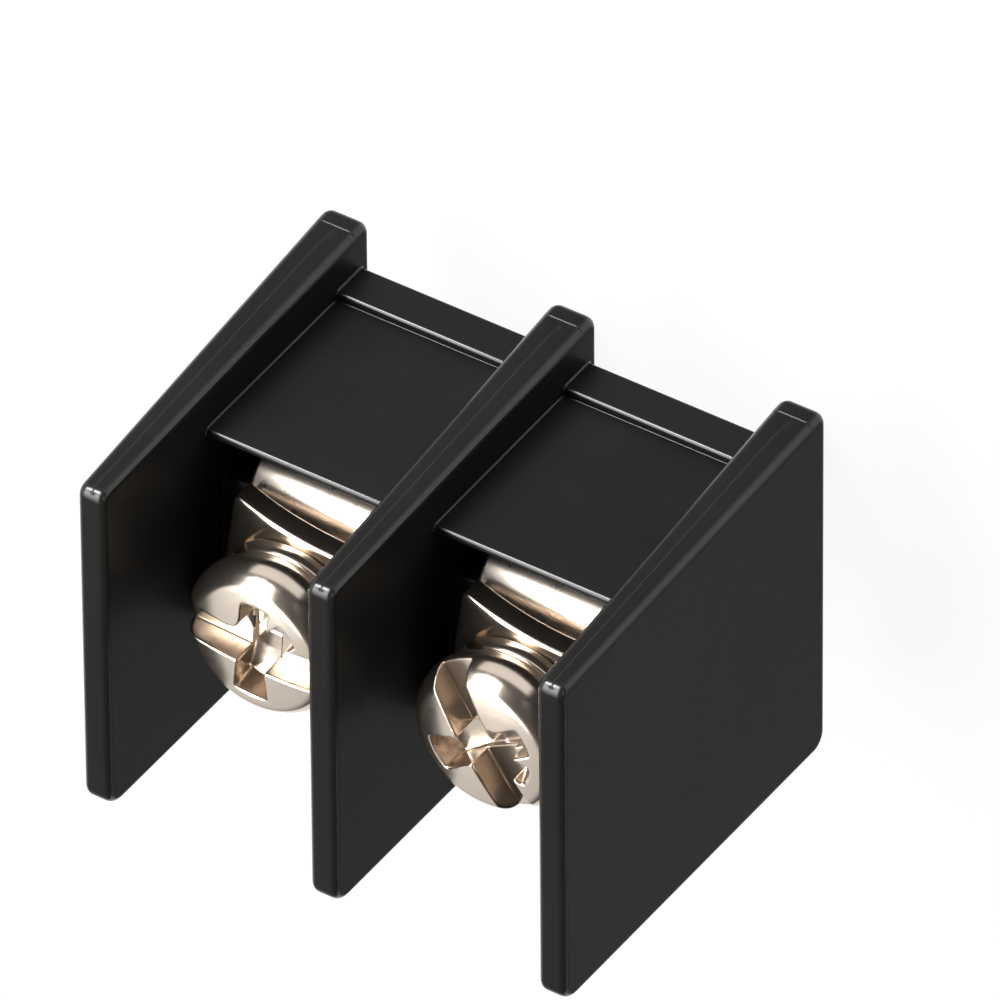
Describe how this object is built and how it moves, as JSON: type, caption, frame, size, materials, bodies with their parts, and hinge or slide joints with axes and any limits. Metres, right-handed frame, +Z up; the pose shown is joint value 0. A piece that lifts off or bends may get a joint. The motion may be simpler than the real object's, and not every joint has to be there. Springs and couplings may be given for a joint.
{
  "type": "barrier terminal strip",
  "caption": "Black moulded barrier terminal block for a circuit board, with screw clamps between drafted barrier plates and solder pins below.",
  "frame": {"origin": "on the circuit board's face, midway between the two screw axes", "axes": "+X along the row, +Y towards the closed wall, +Z up the screws and away from the board"},
  "size_m": [0.0208, 0.0159, 0.0204],
  "materials": {
    "black_plastic": "black flame-retardant polyester, moulded, satin gloss",
    "plated_strip": "brass strip with bright nickel plating",
    "plated_steel": "steel with bright nickel plating, slightly warm"
  },
  "bodies": {
    "base": {"housing": "black_plastic", "terminal_1": "plated_strip", "terminal_2": "plated_strip"},
    "clamp_1": {"clamp_plate_1": "plated_steel", "lock_washer_1": "plated_steel"},
    "clamp_2": {"clamp_plate_2": "plated_steel", "lock_washer_2": "plated_steel"},
    "turning_screw_1": {"screw_1": "plated_steel"},
    "turning_screw_2": {"screw_2": "plated_steel"}
  },
  "joints": [
    {"name": "clamp_1_lift", "type": "slide", "parent": "base", "child": "clamp_1", "axis": [0, 0, 1], "range_m": [-0.00027, 0.0024]},
    {"name": "screw_1_turn", "type": "hinge", "parent": "clamp_1", "child": "turning_screw_1", "pos_m": [-0.00475, 0, 0.0119], "axis": [0, 0, 1], "range_deg": [-162, 1440]},
    {"name": "clamp_2_lift", "type": "slide", "parent": "base", "child": "clamp_2", "axis": [0, 0, 1], "range_m": [-0.00027, 0.0024]},
    {"name": "screw_2_turn", "type": "hinge", "parent": "clamp_2", "child": "turning_screw_2", "pos_m": [0.00475, 0, 0.0119], "axis": [0, 0, 1], "range_deg": [-162, 1440]}
  ],
  "couplings": [
    {"joint": "screw_1_turn", "follows": "clamp_1_lift", "rad_per_m": 10472},
    {"joint": "screw_2_turn", "follows": "clamp_2_lift", "rad_per_m": 10472}
  ]
}
